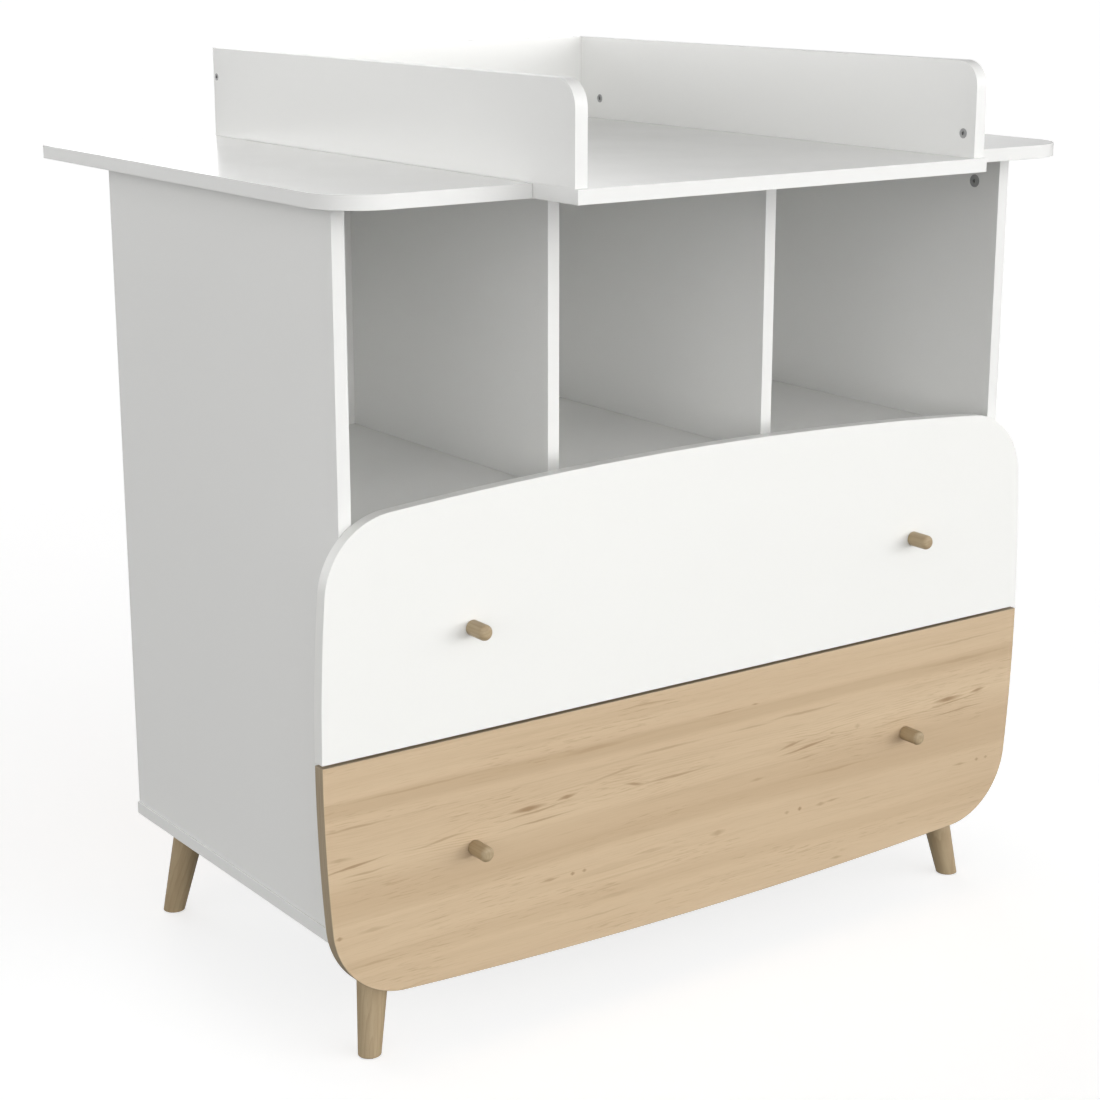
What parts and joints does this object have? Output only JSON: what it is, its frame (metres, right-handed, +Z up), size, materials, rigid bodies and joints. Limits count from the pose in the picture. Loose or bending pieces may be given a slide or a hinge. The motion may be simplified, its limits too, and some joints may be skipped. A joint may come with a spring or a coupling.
{
  "type": "changing table",
  "caption": "Changing table: chest with open niches above drawers behind one rounded front, on splayed wooden legs, with an open-fronted changing tray between side wings.",
  "frame": {"origin": "on the floor, under the middle of the overall width and depth", "axes": "+X to the right seen from the front, +Y to the back, +Z up; the drawers open towards -Y"},
  "size_m": [0.99, 0.74, 1.027],
  "materials": {
    "white_board": "white melamine-faced board, satin, with thin edge band",
    "white_front": "white board front, satin",
    "oak_front": "pale oak decor board, grain running across, satin",
    "turned_wood": "turned solid wood, clear satin lacquer",
    "hardboard": "thin white-faced hardboard",
    "zinc_sheet": "zinc-plated folded steel",
    "zinc_fitting": "zinc-plated fittings and screws",
    "beech_dowel": "plain beech",
    "grey_glide": "grey plastic glide"
  },
  "bodies": {
    "cabinet": {"back_panel": "hardboard", "back_panel_nails": "zinc_fitting", "board_screws": "zinc_fitting", "bottom_panel": "white_board", "cam_fittings": "zinc_fitting", "front_left_leg": "turned_wood", "front_right_leg": "turned_wood", "left_divider": "white_board", "left_side_panel": "white_board", "left_wing": "white_board", "leg_fixings": "zinc_fitting", "leg_glides": "grey_glide", "lower_left_slide_outer": "zinc_sheet", "lower_right_slide_outer": "zinc_sheet", "niche_shelf": "white_board", "rear_left_leg": "turned_wood", "rear_rail": "white_board", "rear_right_leg": "turned_wood", "right_divider": "white_board", "right_side_panel": "white_board", "right_wing": "white_board", "slide_screws": "zinc_fitting", "tray_back_guard": "white_board", "tray_base": "white_board", "tray_left_guard": "white_board", "tray_right_guard": "white_board", "upper_left_slide_outer": "zinc_sheet", "upper_right_slide_outer": "zinc_sheet", "wood_dowels": "beech_dowel"},
    "upper_drawer": {"upper_drawer_back": "white_board", "upper_drawer_board_screws": "zinc_fitting", "upper_drawer_bottom": "hardboard", "upper_drawer_cam_fittings": "zinc_fitting", "upper_drawer_front": "white_front", "upper_drawer_knob_screws": "zinc_fitting", "upper_drawer_left_knob": "turned_wood", "upper_drawer_left_side": "white_board", "upper_drawer_right_knob": "turned_wood", "upper_drawer_right_side": "white_board", "upper_drawer_slide_screws": "zinc_fitting", "upper_left_slide_inner": "zinc_sheet", "upper_right_slide_inner": "zinc_sheet"},
    "lower_drawer": {"lower_drawer_back": "white_board", "lower_drawer_board_screws": "zinc_fitting", "lower_drawer_bottom": "hardboard", "lower_drawer_cam_fittings": "zinc_fitting", "lower_drawer_front": "oak_front", "lower_drawer_knob_screws": "zinc_fitting", "lower_drawer_left_knob": "turned_wood", "lower_drawer_left_side": "white_board", "lower_drawer_right_knob": "turned_wood", "lower_drawer_right_side": "white_board", "lower_drawer_slide_screws": "zinc_fitting", "lower_left_slide_inner": "zinc_sheet", "lower_right_slide_inner": "zinc_sheet"},
    "lower_left_slide_middle": {"lower_left_slide_middle": "zinc_sheet"},
    "lower_right_slide_middle": {"lower_right_slide_middle": "zinc_sheet"},
    "upper_left_slide_middle": {"upper_left_slide_middle": "zinc_sheet"},
    "upper_right_slide_middle": {"upper_right_slide_middle": "zinc_sheet"}
  },
  "joints": [
    {"name": "upper_drawer_slide", "type": "slide", "parent": "cabinet", "child": "upper_drawer", "axis": [0, -1, 0], "range_m": [0, 0.44]},
    {"name": "upper_left_middle_slide", "type": "slide", "parent": "cabinet", "child": "upper_left_slide_middle", "axis": [0, -1, 0], "range_m": [0, 0.22]},
    {"name": "upper_right_middle_slide", "type": "slide", "parent": "cabinet", "child": "upper_right_slide_middle", "axis": [0, -1, 0], "range_m": [0, 0.22]},
    {"name": "lower_drawer_slide", "type": "slide", "parent": "cabinet", "child": "lower_drawer", "axis": [0, -1, 0], "range_m": [0, 0.44]},
    {"name": "lower_left_middle_slide", "type": "slide", "parent": "cabinet", "child": "lower_left_slide_middle", "axis": [0, -1, 0], "range_m": [0, 0.22]},
    {"name": "lower_right_middle_slide", "type": "slide", "parent": "cabinet", "child": "lower_right_slide_middle", "axis": [0, -1, 0], "range_m": [0, 0.22]}
  ],
  "couplings": [
    {"joint": "upper_left_middle_slide", "follows": "upper_drawer_slide", "ratio": 0.5},
    {"joint": "upper_right_middle_slide", "follows": "upper_drawer_slide", "ratio": 0.5},
    {"joint": "lower_left_middle_slide", "follows": "lower_drawer_slide", "ratio": 0.5},
    {"joint": "lower_right_middle_slide", "follows": "lower_drawer_slide", "ratio": 0.5}
  ]
}
